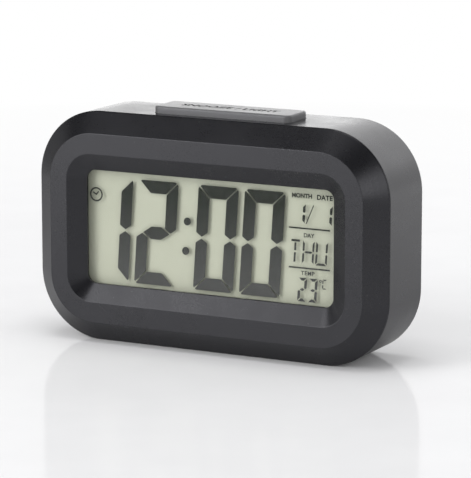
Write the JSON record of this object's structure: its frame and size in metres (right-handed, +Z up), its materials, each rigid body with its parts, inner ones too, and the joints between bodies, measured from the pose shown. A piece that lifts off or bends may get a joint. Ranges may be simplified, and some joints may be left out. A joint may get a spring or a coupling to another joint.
{
  "type": "digital alarm clock",
  "caption": "Rounded desktop digital alarm clock: sloped bezel, segment display, press bar on top, keys and battery door behind.",
  "frame": {"origin": "on the table, under the middle of the whole clock's width and depth", "axes": "+X to the right seen from the front, +Y to the back (the display faces -Y), +Z up"},
  "size_m": [0.135, 0.034, 0.0839],
  "materials": {
    "bezel_plastic": "fine matt black",
    "case_plastic": "fine spark texture, black",
    "screw_steel": "zinc plated",
    "polarizer": "satin grey-green film",
    "display_glass": "clear",
    "light_guide": "clear acrylic with a dotted back",
    "reflector_sheet": "white film",
    "led": "white package",
    "white_plastic": "moulded",
    "zebra_rubber": "soft",
    "circuit_board": "green solder mask",
    "black_resin": "cured",
    "spring_steel": "nickel plated",
    "capacitor_sleeve": "shrink sleeve",
    "thermistor_bead": "epoxy bead",
    "bar_gloss": "glossy black",
    "key_plastic": "satin",
    "wire": "PVC insulation",
    "cell_jacket": "plain printed jacket",
    "brass": "rolled sheet",
    "ceramic": "silvered ceramic"
  },
  "bodies": {
    "case": {"front_bezel": "bezel_plastic", "rear_case": "case_plastic", "case_screws": "screw_steel", "lcd_front_polarizer": "polarizer", "lcd_front_glass": "display_glass", "lcd_rear_glass": "display_glass", "lcd_rear_polarizer": "polarizer", "light_guide": "light_guide", "light_reflector": "reflector_sheet", "backlight_leds": "led", "lcd_holder": "white_plastic", "zebra_strip": "zebra_rubber", "main_board": "circuit_board", "board_screws": "screw_steel", "chip_blob": "black_resin", "crystal": "spring_steel", "capacitor": "capacitor_sleeve", "thermistor": "thermistor_bead", "chip_resistors": "black_resin", "snooze_springs": "spring_steel", "snooze_board": "circuit_board", "snooze_board_screws": "screw_steel", "snooze_switch": "black_resin", "snooze_wires": "wire", "key_board": "circuit_board", "key_board_screws": "screw_steel", "key_switches": "black_resin", "key_ribbon": "wire", "slide_switch": "spring_steel", "battery_cells": "cell_jacket", "contact_springs": "spring_steel", "contact_bridges": "spring_steel", "terminal_plates": "spring_steel", "battery_wires": "wire", "buzzer_plate": "brass", "buzzer_wafer": "ceramic", "buzzer_wires": "wire"},
    "snooze_body": {"snooze_bar": "bar_gloss", "snooze_plunger": "white_plastic"},
    "door_body": {"battery_door": "case_plastic"},
    "knob_body": {"alarm_knob": "key_plastic"},
    "mode_body": {"mode_key": "key_plastic", "mode_plunger": "white_plastic"},
    "set_body": {"set_key": "key_plastic", "set_plunger": "white_plastic"},
    "up_body": {"up_key": "key_plastic", "up_plunger": "white_plastic"},
    "down_body": {"down_key": "key_plastic", "down_plunger": "white_plastic"},
    "alarm_body": {"alarm_key": "key_plastic", "alarm_plunger": "white_plastic"}
  },
  "joints": [
    {"name": "snooze_press", "type": "slide", "parent": "case", "child": "snooze_body", "axis": [0, 0, -1], "range_m": [0, 0.0008], "stiffness_N_per_m": 900, "springref_m": -0.001, "deforming": ["snooze_springs"]},
    {"name": "mode_press", "type": "slide", "parent": "case", "child": "mode_body", "axis": [0, -1, 0], "range_m": [0, 0.0005], "stiffness_N_per_m": 600, "springref_m": -0.0005},
    {"name": "set_press", "type": "slide", "parent": "case", "child": "set_body", "axis": [0, -1, 0], "range_m": [0, 0.0005], "stiffness_N_per_m": 600, "springref_m": -0.0005},
    {"name": "up_press", "type": "slide", "parent": "case", "child": "up_body", "axis": [0, -1, 0], "range_m": [0, 0.0005], "stiffness_N_per_m": 600, "springref_m": -0.0005},
    {"name": "down_press", "type": "slide", "parent": "case", "child": "down_body", "axis": [0, -1, 0], "range_m": [0, 0.0005], "stiffness_N_per_m": 600, "springref_m": -0.0005},
    {"name": "alarm_press", "type": "slide", "parent": "case", "child": "alarm_body", "axis": [0, -1, 0], "range_m": [0, 0.0005], "stiffness_N_per_m": 600, "springref_m": -0.0005},
    {"name": "alarm_slide", "type": "slide", "parent": "case", "child": "knob_body", "axis": [1, 0, 0], "range_m": [0, 0.003]},
    {"name": "door_swing", "type": "hinge", "parent": "case", "child": "door_body", "pos_m": [0, 0.016, 0.0068], "axis": [-1, 0, 0], "range_deg": [0, 60]}
  ]
}
